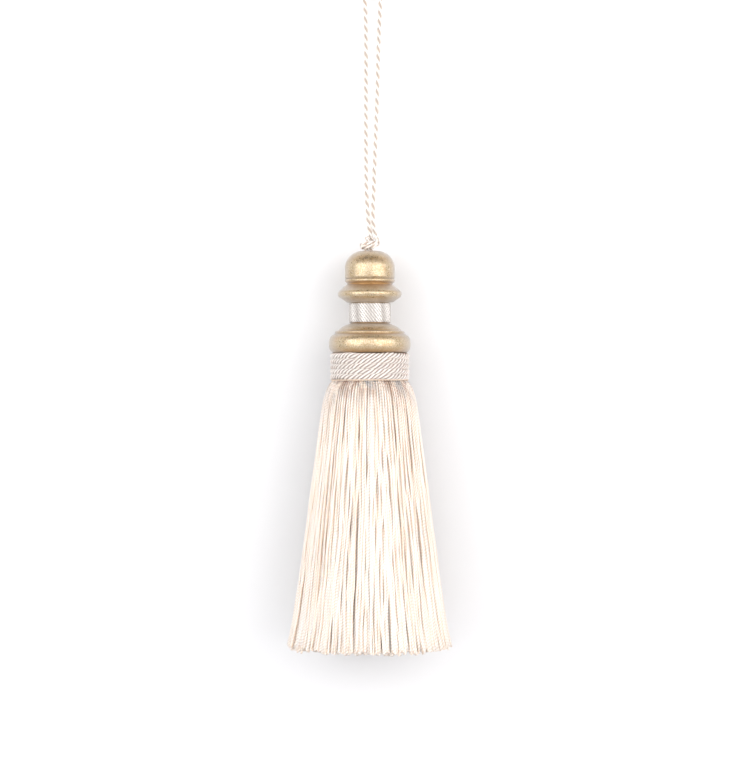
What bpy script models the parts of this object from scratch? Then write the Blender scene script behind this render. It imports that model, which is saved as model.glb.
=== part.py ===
"""Key tassel: a turned and gilded wooden head, hung on a loop of twisted cord, over a skirt of threads.

Metres, +Z up. The origin is the inside of the loop's crown, where a knob or a hook bears, and the head's
axis is the Z axis. Each object is one piece that a trimmings maker would turn, wind or tie.
"""
import math
import random

import bmesh
import bpy
from mathutils import Matrix, Vector
from mathutils.geometry import delaunay_2d_cdt, interpolate_bezier

MM = 0.001
GAP = 0.3 * MM                  # clearance between two pieces that touch

# Heights, all measured down from the origin
KNOT_TOP = -111.0 * MM
HEAD_TOP = -116.4 * MM
HEAD_HEIGHT = 40.8 * MM
SKIRT_HEM = -275.0 * MM

# Twisted cord of the loop: two plies laid round each other
CORD_RADIUS = 1.0 * MM
PLY_HALF_TURN = 3.5 * MM        # along the cord, from one ply's crest to the next
STEPS_PER_HALF_TURN = 3
FINE_STEPS = 24                 # points that a smooth curve is read at between two points of a route
TWO_PLIES = (  # outline of two plies side by side, as shares of the cord's radius
    (1.0, 0.0), (0.62, -0.52), (0.0, -0.34), (-0.62, -0.52),
    (-1.0, 0.0), (-0.62, 0.52), (0.0, 0.34), (0.62, 0.52),
)

# The loop's centreline from the knot up the left leg, over the crown and down the right leg
LOOP_ROUTE_MM = (  # x, y, z
    (-1.10, 0.35, -110.6), (-1.20, 0.30, -104.0), (-1.40, 0.20, -92.0), (-1.50, 0.10, -74.0),
    (-1.50, 0.00, -54.0), (-1.50, 0.00, -36.0), (-1.75, 0.00, -20.0), (-2.70, 0.00, -9.5),
    (-3.80, 0.00, -3.6), (-2.90, 0.00, -0.1), (0.00, 0.00, 1.0), (2.90, 0.00, -0.1),
    (4.15, 0.00, -3.6), (4.45, 0.00, -9.5), (4.10, 0.00, -20.0), (3.45, 0.00, -36.0),
    (3.00, 0.00, -54.0), (2.25, -0.10, -74.0), (1.70, -0.20, -92.0), (1.35, -0.30, -104.0),
    (1.20, -0.35, -110.6),
)

# Knot: the right leg takes two turns round both legs, and the two tails go down into the head
KNOT_CORD_RADIUS = 0.95 * MM
KNOT_ROUTE_MM = (  # x, y, height above the head's top
    (1.2, -0.6, 4.9), (2.3, -1.4, 4.5), (1.7, -2.2, 3.9), (-0.4, -2.3, 3.2), (-2.3, -1.6, 2.5),
    (-3.0, 0.0, 2.3), (-2.2, 1.7, 2.6), (0.0, 2.3, 3.0), (2.1, 1.6, 3.1), (2.9, 0.0, 2.8),
    (2.2, -1.6, 2.0), (0.2, -2.3, 1.5), (-2.1, -1.6, 1.25), (-2.8, 0.1, 1.3), (-1.6, 1.8, 1.35),
    (0.8, 1.9, 1.4), (1.5, 1.0, 1.6),
)
KNOT_CORE_RADIUS = 2.0 * MM     # half the width of the two legs side by side
KNOT_CORE_TURN = -17.0          # degrees, one leg a little in front of the other
TAIL_DEPTH = 6.0 * MM           # of the tails in the head's bore

# Turned head, with a blind bore for the cord's tails
HEAD_STEPS = 40
BORE_RADIUS = 2.4 * MM
BORE_DEPTH = 8.0 * MM
BORE_CHAMFER = 0.3 * MM
NECK_CORE_RADIUS = 7.6 * MM
NECK_DROPS = (20.7 * MM, 28.9 * MM)     # where the neck begins and ends, below the head's top
RING_SQUARENESS = 2.4                   # exponent of the ring's section; 2 is a circle

# Arcs of the head's outline, in mm and degrees: 90 degrees is up and 0 is outwards
ARCS = {  # centre radius, centre drop below the top, arc radius, from, to, steps
    "dome": (3.5, 6.5, 6.5, 90, 0, 5),
    "flange rim": (11.0, 16.9, 1.75, 62, -45, 4),
    "shoulder": (6.5, 37.5, 8.4, 74, 41, 3),
    "ring": (12.4, 37.15, 4.0, 64, -61, 8),
}
# Small members between the arcs, from the top down: radius and drop below the top, in mm
DOME_FOOT_MM = (  # side, incised line, bead and groove
    (10.0, 10.5), (9.72, 10.9), (9.92, 11.4), (9.85, 12.5), (9.4, 13.4), (9.7, 13.8),
)
FLANGE_FOOT_MM = ((9.3, 20.5),)
FILLET_MM = ((13.15, 32.0), (13.55, 32.3), (13.75, 32.8), (13.6, 33.15))
RING_FOOT_MM = ((13.6, 40.8),)

# Threads laid over the neck
NECK_RADIUS = 8.35 * MM
NECK_THREADS = 38
NECK_THREAD_RELIEF = 0.22 * MM

# Collar: one twisted cord wound round the skirt's heading
COLLAR_ROWS = 5
COLLAR_ROW_HEIGHT = 2.04 * MM
COLLAR_PLIES = 42               # ply crests in one turn
COLLAR_RADIUS = 15.9 * MM
COLLAR_INNER_RADIUS = 13.9 * MM
COLLAR_PLY_RELIEF = 0.55 * MM
COLLAR_PLY_EDGE = 0.34 * MM     # width of a ply's sloping sides

# Skirt: a heading inside the collar, and strands fused into its underside
HEADING_LIP_RADIUS = 15.5 * MM
HEADING_LIP = 0.6 * MM
HEADING_STEPS = 48
LAYERS = (  # strands, root radius, hem radius (both in mm), segments
    (84, 14.75, 31.9, 5),
    (64, 12.80, 29.6, 4),
    (40, 10.10, 25.0, 3),
    (24, 6.90, 18.0, 3),
    (10, 3.20, 9.0, 3),
)
STATIONS = {  # how far down a strand its sections lie, as a share of its length
    5: (0.0, 0.025, 0.08, 0.35, 0.68, 1.0),
    4: (0.0, 0.03, 0.1, 0.5, 1.0),
    3: (0.0, 0.06, 0.5, 1.0),
}
BULGE = 2.7                     # against FLARE: the quick spread just under the collar
BULGE_SHARE = 0.037             # of the skirt's length
FLARE = 14.3
STRAND_FILL = 0.68              # of the pitch of its layer
STRAND_DEPTH = 0.95 * MM        # radial, at the root
STRAND_SPREAD = 1.35            # how much deeper a strand is at the hem
STRAND_WANDER = 0.1             # sideways, as a share of the pitch
WANDER_WAVE = 4.5               # radians of sway from root to hem
HEM_RAGGED = 1.2 * MM
SEED = 7

HEAD_BASE = HEAD_TOP - HEAD_HEIGHT
COLLAR_TOP = HEAD_BASE - GAP
COLLAR_BASE = COLLAR_TOP - COLLAR_ROWS * COLLAR_ROW_HEIGHT
HEADING_BASE = COLLAR_BASE - GAP - HEADING_LIP


def material(name, colour, roughness, metallic=0.0):
    """A Principled material in one plain finish."""
    made = bpy.data.materials.new(name)
    made.use_nodes = True
    shader = made.node_tree.nodes["Principled BSDF"]
    shader.inputs["Base Color"].default_value = (*colour, 1.0)
    shader.inputs["Roughness"].default_value = roughness
    shader.inputs["Metallic"].default_value = metallic
    made.diffuse_color = (*colour, 1.0)
    return made


def finish(name, bm, made, sharp_deg=40.0):
    """Link the bmesh as an object with its faces pointing out, shaded smooth up to sharp_deg."""
    bmesh.ops.recalc_face_normals(bm, faces=bm.faces)
    mesh = bpy.data.meshes.new(name)
    bm.to_mesh(mesh)
    bm.free()
    mesh.shade_smooth()
    mesh.set_sharp_from_angle(angle=math.radians(sharp_deg))
    mesh.materials.append(made)
    piece = bpy.data.objects.new(name, mesh)
    bpy.context.collection.objects.link(piece)
    return piece


def around(radius, angle, z):
    return Vector((radius * math.cos(angle), radius * math.sin(angle), z))


def arc(name, squareness=2.0):
    """Points (radius, drop) in mm on one of the outline's arcs; above 2, squareness fills its corners."""
    centre_radius, centre_drop, radius, start_deg, end_deg, steps = ARCS[name]
    points = []
    for i in range(steps + 1):
        angle = math.radians(start_deg + (end_deg - start_deg) * i / steps)
        out, up = math.cos(angle), math.sin(angle)
        reach = radius * (abs(out) ** squareness + abs(up) ** squareness) ** (-1 / squareness)
        points.append((centre_radius + reach * out, centre_drop - reach * up))
    return points


def head_section():
    """The head's outline (radius, drop below its top) in mm, from the bore's floor to the underside."""
    bore, depth, chamfer = BORE_RADIUS / MM, BORE_DEPTH / MM, BORE_CHAMFER / MM
    neck = [(NECK_CORE_RADIUS / MM, drop / MM) for drop in NECK_DROPS]
    section = [(0.0, depth), (bore, depth), (bore, chamfer), (bore + chamfer, 0.0)]
    section += arc("dome")
    section += DOME_FOOT_MM
    section += arc("flange rim")
    section += FLANGE_FOOT_MM
    section += neck
    section += arc("shoulder")
    section += FILLET_MM
    section += arc("ring", RING_SQUARENESS)
    section += RING_FOOT_MM
    section += [(0.0, HEAD_HEIGHT / MM)]
    return section


def lathe(bm, section, steps, top_z):
    """Turn an outline that starts and ends on the axis into one closed skin."""
    rings = []
    for radius_mm, drop_mm in section:
        z = top_z - drop_mm * MM
        if radius_mm == 0.0:
            rings.append([bm.verts.new((0.0, 0.0, z))])
        else:
            rings.append([bm.verts.new(around(radius_mm * MM, math.tau * i / steps, z)) for i in range(steps)])
    for upper, lower in zip(rings, rings[1:]):
        for i in range(steps):
            j = (i + 1) % steps
            corners = [upper[i % len(upper)], upper[j % len(upper)], lower[j % len(lower)], lower[i % len(lower)]]
            bm.faces.new(list(dict.fromkeys(corners)))


def make_head():
    bm = bmesh.new()
    lathe(bm, head_section(), HEAD_STEPS, HEAD_TOP)
    return finish("head_turning", bm, material("gilded_wood", (0.62, 0.44, 0.19), 0.38, 0.85), 50)


def make_neck_wrap():
    """A sleeve of upright threads between the flange and the shoulder."""
    top, base = (HEAD_TOP - drop for drop in NECK_DROPS)
    top, base = top - GAP, base + GAP
    bm = bmesh.new()
    columns = 3 * NECK_THREADS
    corners = []
    for i in range(columns):
        angle = math.tau * i / columns
        outer = NECK_RADIUS - (NECK_THREAD_RELIEF if i % 3 == 0 else 0.0)
        inner = NECK_CORE_RADIUS + GAP
        corners.append([bm.verts.new(around(radius, angle, z))
                        for radius, z in ((outer, top), (outer, base), (inner, base), (inner, top))])
    for i in range(columns):
        here, there = corners[i], corners[(i + 1) % columns]
        for k in range(4):
            bm.faces.new((here[k], there[k], there[(k + 1) % 4], here[(k + 1) % 4]))
    return finish("neck_wrap", bm, material("satin_thread", (0.93, 0.89, 0.84), 0.45), 60)


def make_collar():
    """Five turns of twisted cord as one sleeve, each ply crest raised from a slanted cell."""
    bm = bmesh.new()
    rows = []
    for k in range(COLLAR_ROWS + 1):
        z = COLLAR_TOP - k * COLLAR_ROW_HEIGHT
        rows.append([bm.verts.new(around(COLLAR_RADIUS - COLLAR_PLY_RELIEF, math.tau * (i - k) / COLLAR_PLIES, z))
                     for i in range(COLLAR_PLIES)])
    plies = []
    for upper, lower in zip(rows, rows[1:]):
        for i in range(COLLAR_PLIES):
            j = (i + 1) % COLLAR_PLIES
            plies.append(bm.faces.new((upper[i], lower[i], lower[j], upper[j])))
    bottom = rows[-1][COLLAR_ROWS:] + rows[-1][:COLLAR_ROWS]    # from the same angle as the top row
    share = COLLAR_INNER_RADIUS / (COLLAR_RADIUS - COLLAR_PLY_RELIEF)
    inside = [[bm.verts.new((v.co.x * share, v.co.y * share, v.co.z)) for v in row] for row in (rows[0], bottom)]
    for ring, other in ((rows[0], inside[0]), (inside[0], inside[1]), (inside[1], bottom)):
        for i in range(COLLAR_PLIES):
            j = (i + 1) % COLLAR_PLIES
            bm.faces.new((ring[i], ring[j], other[j], other[i]))
    bmesh.ops.recalc_face_normals(bm, faces=bm.faces)
    bmesh.ops.inset_individual(bm, faces=plies, thickness=COLLAR_PLY_EDGE, depth=COLLAR_PLY_RELIEF)
    return finish("collar_cord", bm, material("collar_thread", (0.94, 0.88, 0.82), 0.6), 70)


def skirt_share(down):
    """How far out a strand has swung, from 0 at the root to 1 at the hem."""
    spread = BULGE * (1.0 - math.exp(-down / BULGE_SHARE)) + FLARE * down
    return spread / (BULGE + FLARE)


def strand_section(layer, index, down, wander, hem):
    """A strand's three corners at a share of its length down: a ridge outside and two corners inside."""
    count, root_mm, hem_mm, _ = layer
    radius = (root_mm + (hem_mm - root_mm) * skirt_share(down)) * MM
    depth = STRAND_DEPTH * (1.0 + (STRAND_SPREAD - 1.0) * down)
    pitch = math.tau / count
    angle = (index + wander * math.sin(WANDER_WAVE * down)) * pitch
    half = 0.5 * STRAND_FILL * pitch
    z = HEADING_BASE + (hem - HEADING_BASE) * down
    return (around(radius + 0.5 * depth, angle, z),
            around(radius - 0.5 * depth, angle + half, z),
            around(radius - 0.5 * depth, angle - half, z))


def make_skirt():
    """The heading inside the collar, and the strands that hang from its underside."""
    draw = random.Random(SEED)
    bm = bmesh.new()
    inner = COLLAR_INNER_RADIUS - GAP
    lip_top = COLLAR_BASE - GAP
    rings = []
    for radius, z in ((inner, COLLAR_TOP), (inner, lip_top), (HEADING_LIP_RADIUS, lip_top),
                      (HEADING_LIP_RADIUS, HEADING_BASE)):
        rings.append([bm.verts.new(around(radius, math.tau * i / HEADING_STEPS, z)) for i in range(HEADING_STEPS)])
    bm.faces.new(rings[0])
    for upper, lower in zip(rings, rings[1:]):
        for i in range(HEADING_STEPS):
            j = (i + 1) % HEADING_STEPS
            bm.faces.new((upper[i], upper[j], lower[j], lower[i]))

    strands = []
    for row, layer in enumerate(LAYERS):
        for i in range(layer[0]):
            wander = draw.uniform(-1.0, 1.0) * STRAND_WANDER
            hem = SKIRT_HEM + draw.uniform(-1.0, 1.0) * HEM_RAGGED
            strands.append([strand_section(layer, i + 0.5 * (row % 2), down, wander, hem)
                            for down in STATIONS[layer[3]]])

    # The underside is filled between its rim and the strands' roots
    flat = [v.co.xy for v in rings[-1]] + [p.xy for sections in strands for p in sections[0]]
    rim = [list(range(HEADING_STEPS))]
    roots = [[HEADING_STEPS + 3 * i + k for k in range(3)] for i in range(len(strands))]
    _, _, faces, _, _, origin = delaunay_2d_cdt(flat, [], rim + roots, 1, MM * 1e-4)
    verts = rings[-1] + [bm.verts.new(p) for sections in strands for p in sections[0]]
    for face, came_from in zip(faces, origin):
        if all(source == 0 for source in came_from):
            bm.faces.new([verts[i] for i in face])
    for root, sections in zip(roots, strands):
        above = [verts[i] for i in root]
        for section in sections[1:]:
            below = [bm.verts.new(p) for p in section]
            for k in range(3):
                bm.faces.new((above[k], above[(k + 1) % 3], below[(k + 1) % 3], below[k]))
            above = below
        bm.faces.new(above)
    return finish("skirt", bm, material("skirt_thread", (0.95, 0.90, 0.84), 0.6), 80)


def smooth_route(points_mm, step):
    """Points a step apart on a smooth curve through the route's own points, in metres."""
    points = [Vector(p) * MM for p in points_mm]
    around_each = zip(points[:1] + points[:-1], points[1:] + points[-1:])
    headings = [(after - before).normalized() for before, after in around_each]
    dense = points[:1]
    for i in range(len(points) - 1):
        reach = (points[i + 1] - points[i]).length / 3
        dense += interpolate_bezier(points[i], points[i] + headings[i] * reach,
                                    points[i + 1] - headings[i + 1] * reach, points[i + 1], FINE_STEPS)[1:]
    lengths = [0.0]
    for a, b in zip(dense, dense[1:]):
        lengths.append(lengths[-1] + (b - a).length)
    count = round(lengths[-1] / step)
    spaced = []
    k = 0
    for i in range(count + 1):
        target = lengths[-1] * i / count
        while k < len(lengths) - 2 and lengths[k + 1] < target:
            k += 1
        share = (target - lengths[k]) / (lengths[k + 1] - lengths[k])
        spaced.append(dense[k].lerp(dense[k + 1], share))
    return spaced


def poly_curve(name, points, closed=False):
    curve = bpy.data.curves.new(name, "CURVE")
    curve.dimensions = "3D"
    spline = curve.splines.new("POLY")
    spline.points.add(len(points) - 1)
    for point, place in zip(spline.points, points):
        point.co = (*place, 1.0)
    spline.use_cyclic_u = closed
    piece = bpy.data.objects.new(name, curve)
    bpy.context.collection.objects.link(piece)
    return piece


def make_ply_section():
    """Guide: the outline of two plies side by side, which the cord's twist turns."""
    outline = [(out * CORD_RADIUS, up * CORD_RADIUS, 0.0) for out, up in TWO_PLIES]
    guide = poly_curve("ply_section", outline, closed=True)
    guide.hide_render = True
    guide.display_type = "WIRE"
    return guide


def make_loop():
    """The hanging loop: a curve that carries the two plies' outline, turned step by step."""
    loop = poly_curve("hanging_loop", smooth_route(LOOP_ROUTE_MM, PLY_HALF_TURN / STEPS_PER_HALF_TURN))
    curve = loop.data
    curve.bevel_mode = "OBJECT"
    curve.bevel_object = make_ply_section()
    curve.use_fill_caps = True
    for i, point in enumerate(curve.splines[0].points):
        point.tilt = -math.pi * i / STEPS_PER_HALF_TURN
    curve.materials.append(material("loop_thread", (0.93, 0.88, 0.81), 0.6))
    return loop


def make_knot():
    """Two turns of cord round the two legs, joined to the tails that go into the head's bore."""
    turns = poly_curve("knot_turns", smooth_route([(x, y, HEAD_TOP / MM + h) for x, y, h in KNOT_ROUTE_MM],
                                                  CORD_RADIUS))
    turns.data.bevel_depth = KNOT_CORD_RADIUS
    turns.data.bevel_resolution = 2
    turns.data.use_fill_caps = True
    bpy.context.view_layer.update()
    wound = bpy.data.objects.new("knot_turns_solid", bpy.data.meshes.new_from_object(
        turns.evaluated_get(bpy.context.evaluated_depsgraph_get())))
    bpy.context.collection.objects.link(wound)
    bpy.data.objects.remove(turns)
    wound.hide_render = True
    wound.display_type = "WIRE"

    bm = bmesh.new()
    legs = [Vector((out, up, 0.0)) * KNOT_CORE_RADIUS for out, up in TWO_PLIES]
    turn = Matrix.Rotation(math.radians(KNOT_CORE_TURN), 3, "Z")
    upper = [bm.verts.new(turn @ p + Vector((0.0, 0.0, KNOT_TOP))) for p in legs]
    lower = [bm.verts.new(turn @ p + Vector((0.0, 0.0, HEAD_TOP - TAIL_DEPTH))) for p in legs]
    bm.faces.new(upper)
    bm.faces.new(lower)
    for i in range(len(legs)):
        j = (i + 1) % len(legs)
        bm.faces.new((upper[i], upper[j], lower[j], lower[i]))
    knot = finish("knot", bm, material("knot_thread", (0.93, 0.87, 0.80), 0.6))
    union = knot.modifiers.new("turns", "BOOLEAN")
    union.operation = "UNION"
    union.object = wound
    return knot


def main():
    for old in list(bpy.data.objects):
        bpy.data.objects.remove(old)
    make_head()
    make_neck_wrap()
    make_collar()
    make_skirt()
    make_knot()
    make_loop()


main()
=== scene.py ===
"""Key tassel, dressed: the looks of a hanging tassel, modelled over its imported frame.

Metres, +Z up. The origin is the inside of the loop's crown, and the head's axis is the Z axis. The file
is laid out as an add-on, with one operator for each piece, and property groups that hold what a user
would change.
"""
import math

import bpy
import numpy as np
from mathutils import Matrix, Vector
from mathutils.geometry import interpolate_bezier


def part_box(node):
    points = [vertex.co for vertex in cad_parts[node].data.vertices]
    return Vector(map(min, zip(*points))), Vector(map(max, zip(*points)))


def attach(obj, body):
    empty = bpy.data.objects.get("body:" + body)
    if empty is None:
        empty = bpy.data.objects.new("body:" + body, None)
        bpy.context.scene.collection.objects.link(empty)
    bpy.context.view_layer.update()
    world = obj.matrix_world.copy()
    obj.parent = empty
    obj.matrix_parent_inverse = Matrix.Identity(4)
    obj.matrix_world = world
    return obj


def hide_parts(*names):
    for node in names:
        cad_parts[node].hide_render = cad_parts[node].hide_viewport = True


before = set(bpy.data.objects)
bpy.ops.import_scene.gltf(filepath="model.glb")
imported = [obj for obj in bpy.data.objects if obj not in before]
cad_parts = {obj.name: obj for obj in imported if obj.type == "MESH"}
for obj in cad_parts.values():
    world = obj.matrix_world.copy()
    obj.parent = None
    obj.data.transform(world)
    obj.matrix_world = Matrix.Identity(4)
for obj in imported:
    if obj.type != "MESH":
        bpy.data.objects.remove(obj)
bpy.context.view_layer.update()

bl_info = {
    "name": "Key tassel",
    "version": (1, 0, 0),
    "blender": (4, 5, 0),
    "location": "3D View > Sidebar > Tassel",
    "description": "Turned and gilded head, satin neck, corded collar, thread skirt and hanging loop",
    "category": "Add Mesh",
}

MM = 0.001
BODY = "root"
CORD_SIDES, THIN_SIDES, THREAD_SIDES = 10, 8, 6  # of a tube's section

# Places and sizes read from the frame
HEAD_LOW, HEAD_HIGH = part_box("head_turning")
NECK_LOW, NECK_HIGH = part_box("neck_wrap")
COLLAR_LOW, COLLAR_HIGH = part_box("collar_cord")
SKIRT_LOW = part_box("skirt")[0]
HEAD_TOP = HEAD_HIGH.z
COLLAR_RADIUS = COLLAR_HIGH.x
SKIRT_TOP = COLLAR_LOW.z

# ---- measures of cord and knot

# The loop's centreline from the knot up the left leg, over the crown and down the right leg
LOOP_ROUTE_MM = (  # x, y, z
    (0.45, 0.35, -111.4), (0.1, 0.3, -109.0), (-0.65, 0.3, -104.0), (-1.3, 0.2, -92.0),
    (-1.5, 0.1, -74.0), (-1.5, 0.0, -54.0), (-1.5, 0.0, -36.0), (-1.75, 0.0, -20.0),
    (-2.7, 0.0, -9.5), (-3.8, 0.0, -3.6), (-2.9, 0.0, -0.1), (0.0, 0.0, 1.0),
    (2.9, 0.0, -0.1), (4.15, 0.0, -3.6), (4.45, 0.0, -9.5), (4.1, 0.0, -20.0),
    (3.45, 0.0, -36.0), (3.0, 0.0, -54.0), (2.25, -0.1, -74.0), (1.6, -0.2, -92.0),
    (1.3, -0.3, -104.0), (1.95, -0.35, -109.0), (2.4, -0.4, -111.4),
)

# Knot: the right leg bends over in front and winds twice round both, with a small eye at its left
KNOT_ROUTE_MM = (  # x, y, height above the head's top
    (2.35, -0.40, 5.6), (2.90, -0.9, 4.7), (2.80, -1.7, 3.9), (1.5, -2.3, 3.15), (-0.5, -2.4, 3.0),
    (-2.4, -1.7, 2.6), (-3.3, -0.1, 2.2), (-2.3, 1.7, 2.6), (0.2, 2.3, 3.1), (2.4, 1.7, 3.5),
    (3.3, 0.1, 3.4), (2.7, -1.7, 2.5), (0.8, -2.5, 1.75), (-1.6, -2.1, 1.6), (-2.9, -0.6, 1.6),
    (-2.2, 1.3, 1.5), (0.0, 1.9, 1.4),
)
KNOT_INNER_MM = (  # x, y, height above the head's top
    (0.45, 0.35, 5.4), (0.75, 0.1, 4.4), (0.5, -0.2, 3.0), (0.1, 0.2, 1.4), (0.0, 0.2, -1.0),
)
TAILS_MM = (  # x, y, height above the head's top: each row is one cord end that goes into the bore
    ((-2.7, -1.0, 1.7), (-1.8, -1.1, 0.3), (-1.2, -0.8, -3.0)),
    ((-0.6, -1.6, 1.6), (-0.5, -1.4, 0.2), (-0.4, -0.9, -3.0)),
    ((0.3, -1.4, 1.6), (0.9, -1.4, 0.2), (1.0, -0.9, -3.0)),
)
KNOT_SHARE, TAIL_SHARE = 0.95, 0.55  # of the cord's thickness
KNOT_TIGHTER = 0.8  # of the cord's half turn
KNOT_EYE_MM = (-1.0, -1.75, 4.85)  # the eye's middle: x, y, height above the head's top
EYE_RADIUS_MM = 0.68
EYE_THICKNESS = 0.85 * MM
EYE_HALF_TURN = 1.0 * MM
# Deeper colour of the loop's cord, also its painted shade in the grooves between the plies
LOOP_GROOVES = (0.58, 0.48, 0.41)

# ---- measures of the head

# Arcs of the turned outline, in mm and degrees: 90 degrees is up and 0 is outwards
ARCS = {  # centre radius, centre drop below the top, arc radius, from, to, steps
    "dome": (3.5, 6.5, 6.5, 90, 0, 22),
    "bead": (9.12, 11.85, 0.88, 72, -66, 10),
    "flange rim": (11.0, 17.25, 1.75, 62, -45, 16),
    "shoulder": (6.5, 37.5, 8.4, 74, 41, 12),
    "fillet": (13.3, 32.65, 0.6, 80, -45, 8),
    "ring": (12.4, 37.15, 4.0, 64, -61, 30),
}
# Points between the arcs: radius, drop below the top
DOME_FOOT_MM = ((10.0, 10.45), (9.78, 10.75), (9.7, 11.1))
GROOVE_MM = ((9.32, 12.8), (9.1, 13.05), (9.08, 13.35), (9.3, 13.6), (9.65, 13.8))
FLANGE_FOOT_MM = ((9.3, 20.5), (7.6, 20.7))
NECK_FOOT_MM = ((7.6, 28.9),)
RING_FOOT_MM = ((13.6, 40.8),)
BORE_MM, BORE_DEPTH_MM, BORE_CHAMFER_MM = 2.4, 8.0, 0.5  # BORE_MM is its radius
DOME_SQUARENESS = 1.8  # 2 is a true arc
RING_SQUARENESS = 2.4
EDGE_ROUNDING = 0.1 * MM
QUIRKS_MM = (  # drop, half width, share of painted shade: hollows between the mouldings, where shade falls
    (10.95, 0.3, 0.2), (13.4, 1.1, 1.0), (14.8, 0.9, 0.55), (20.6, 0.3, 0.4), (28.9, 0.5, 0.8),
    (31.9, 0.3, 0.9), (33.4, 0.5, 0.9), (40.8, 1.6, 0.85),
)
PAINTED_SHEEN = (0.57, 0.52, 0.47)  # a pale sheen painted into the gilding's colour where it turns away

# ---- measures of neck and collar

NECK_SEED = 5
SATIN_THICKNESS = 0.96 * MM
SATIN_ROOT = 0.52 * MM  # a thread's middle is this far inside the neck's outside
SATIN_HALF_TURN = 1.8 * MM
SATIN_STAGGER = 42.0  # half turns that the drawn plies gain once round the neck
# Deeper colour of the satin, also its painted shade in bands round the neck, in grooves and on sides
SATIN_GROOVES = (0.42, 0.38, 0.35)
ROW_FULLNESS = 1.22  # the cord is thicker than a row is high, because the rows press together
# Deeper colour of the collar's cord, also its painted shade in the grooves and on its backing
COLLAR_GROOVES = (0.42, 0.335, 0.285)

# ---- measures of the skirt

SKIRT_RINGS = 15
FACE_RINGS = 4  # the rings that show, of which the first has its plies in the mesh
ROOT_RADIUS = 14.9 * MM  # the outermost ring's threads where they leave the collar
ROOT_DROP, ROOT_LIFT = 0.55 * MM, 0.9 * MM  # below the collar, and up into it where they tuck in
RING_STEP = 0.91 * MM  # from one ring of threads to the next, and between two threads
HEM_RADIUS = 30.7 * MM
HEM_CROWDING = 2.4  # above 1, the outer rings end closer together at the hem
HEM = -274.2 * MM
BULGE = 2.7  # against FLARE: the quick spread just under the collar
BULGE_SHARE = 0.037  # of the skirt's length
FLARE = 14.3
TUCK, TUCK_SHARE = 1.3 * MM, 0.012  # how far a root bends in under the collar, over what share
SPRING, SPRING_SHARE = 1.2 * MM, 0.09  # how far a cut end springs out, over what share
CUT_SPREAD = 1.12  # how much thicker a thread is where it is cut
FULLNESS = (1.0, 1.08, 1.3, 1.35) + (SKIRT_RINGS - FACE_RINGS) * (1.5,)  # in thread thicknesses
LOOSENESS = (1.0, 1.0, 0.5, 0.5) + (SKIRT_RINGS - FACE_RINGS) * (0.25,)  # a quiet body inside
STRAYS = 0.22  # share of the threads that leave their neighbours
STRAY_DRIFT = 8.0  # how much further than the others they drift
STRAY_RISE = 0.45 * MM  # and how far they stand proud
WAVES = (  # radians from root to hem, share of the sway, radians that neighbours are out of step
    (3.1, 0.55, 2.0), (7.3, 0.5, 3.0), (13.0, 0.42, 6.2), (21.0, 0.32, 6.2), (33.0, 0.2, 6.2),
)
FOLDS = 5  # sets of folds: two rings share one, and the innermost rings the last
# Deeper colour of the skirt's threads, also their painted shade in grooves, on sides and further in
SKIRT_GROOVES = (0.80, 0.717, 0.638)
HEADING_SHADES = ((0.31, 0.205, 0.155), (0.31, 0.30, 0.305))  # brown and grey painted shade, in patches
HEADING_PATCHES, HEADING_TONES = 400.0, 250.0  # per metre, and so for the change of colour
BINDING_RADIUS = 15.2 * MM
BINDING_THICKNESS = 0.62 * MM
BINDING_HALF_TURN = 1.3 * MM
BINDING_COLOUR, BINDING_GROOVES = (0.92, 0.76, 0.62), (0.75, 0.50, 0.34)

# ---- measures of the stage

FRAME_HEIGHT = 310.8 * MM  # what the camera takes in at the tassel's axis, top to bottom
VIEW_CENTRE = Vector((2.1 * MM, 0.0, -171.4 * MM))
CAMERA_DISTANCE = 1.05
SENSOR = 36.0
WALL_SIZE, FLOOR_SIZE = 0.62, 8.0
WALL_LEAN = math.radians(6.4)
WALL_PAINT, FLOOR_PAINT = (0.785, 0.785, 0.79), (0.86, 0.86, 0.87)
LIGHT_DISTANCE = 0.85
LIGHT_DROP = 0.06  # a share of the distance
LIGHT_HEIGHT = 1.05
SOFT_LIGHTS = (  # turn from straight ahead in degrees, width, share of the brightness, colour
    (-46.0, 0.75, 0.96, (0.97, 0.985, 1.0)),
    (46.0, 1.0, 1.07, (1.0, 0.965, 0.95)),
)
ROOM_BRIGHTNESS = (  # height of the direction, from -1 straight down to 1 straight up, brightness
    (-1.0, 0.75), (-0.25, 0.9), (0.45, 0.9), (0.8, 0.3), (1.0, 0.2),
)
FRONT_GLOW = 1.4  # how much brighter the room is in front of the tassel


class LoopSettings(bpy.types.PropertyGroup):
    """What a user would change on the hanging cord and its knot."""
    thickness: bpy.props.FloatProperty(
        name="Cord thickness", description="Across both plies", default=2.0 * MM, unit="LENGTH")
    half_turn: bpy.props.FloatProperty(
        name="Half turn", description="Along the cord, from one ply's crest to the next",
        default=3.5 * MM, unit="LENGTH")
    colour: bpy.props.FloatVectorProperty(
        name="Cord colour", description="Pale ivory of the hanging cord",
        default=(0.875, 0.825, 0.77), size=3, min=0.0, max=1.0, subtype="COLOR")


class HeadSettings(bpy.types.PropertyGroup):
    """What a user would change on the turned head."""
    steps: bpy.props.IntProperty(
        name="Steps", description="Sides of the turned head", default=144, min=24)
    gilding: bpy.props.FloatVectorProperty(
        name="Gilding", description="Gold of the painted wood",
        default=(0.615, 0.468, 0.25), size=3, min=0.0, max=1.0, subtype="COLOR")
    # This brown also stands for shade and dark reflection, painted on the slopes and in the quirks
    tone_and_painted_shade: bpy.props.FloatVectorProperty(
        name="Toning", description="Brown that lies on the slopes and in the quirks",
        default=(0.41, 0.225, 0.075), size=3, min=0.0, max=1.0, subtype="COLOR")
    roughness: bpy.props.FloatProperty(
        name="Roughness", description="How dull the gilding is", default=0.34, min=0.0, max=1.0,
        subtype="FACTOR")


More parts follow.
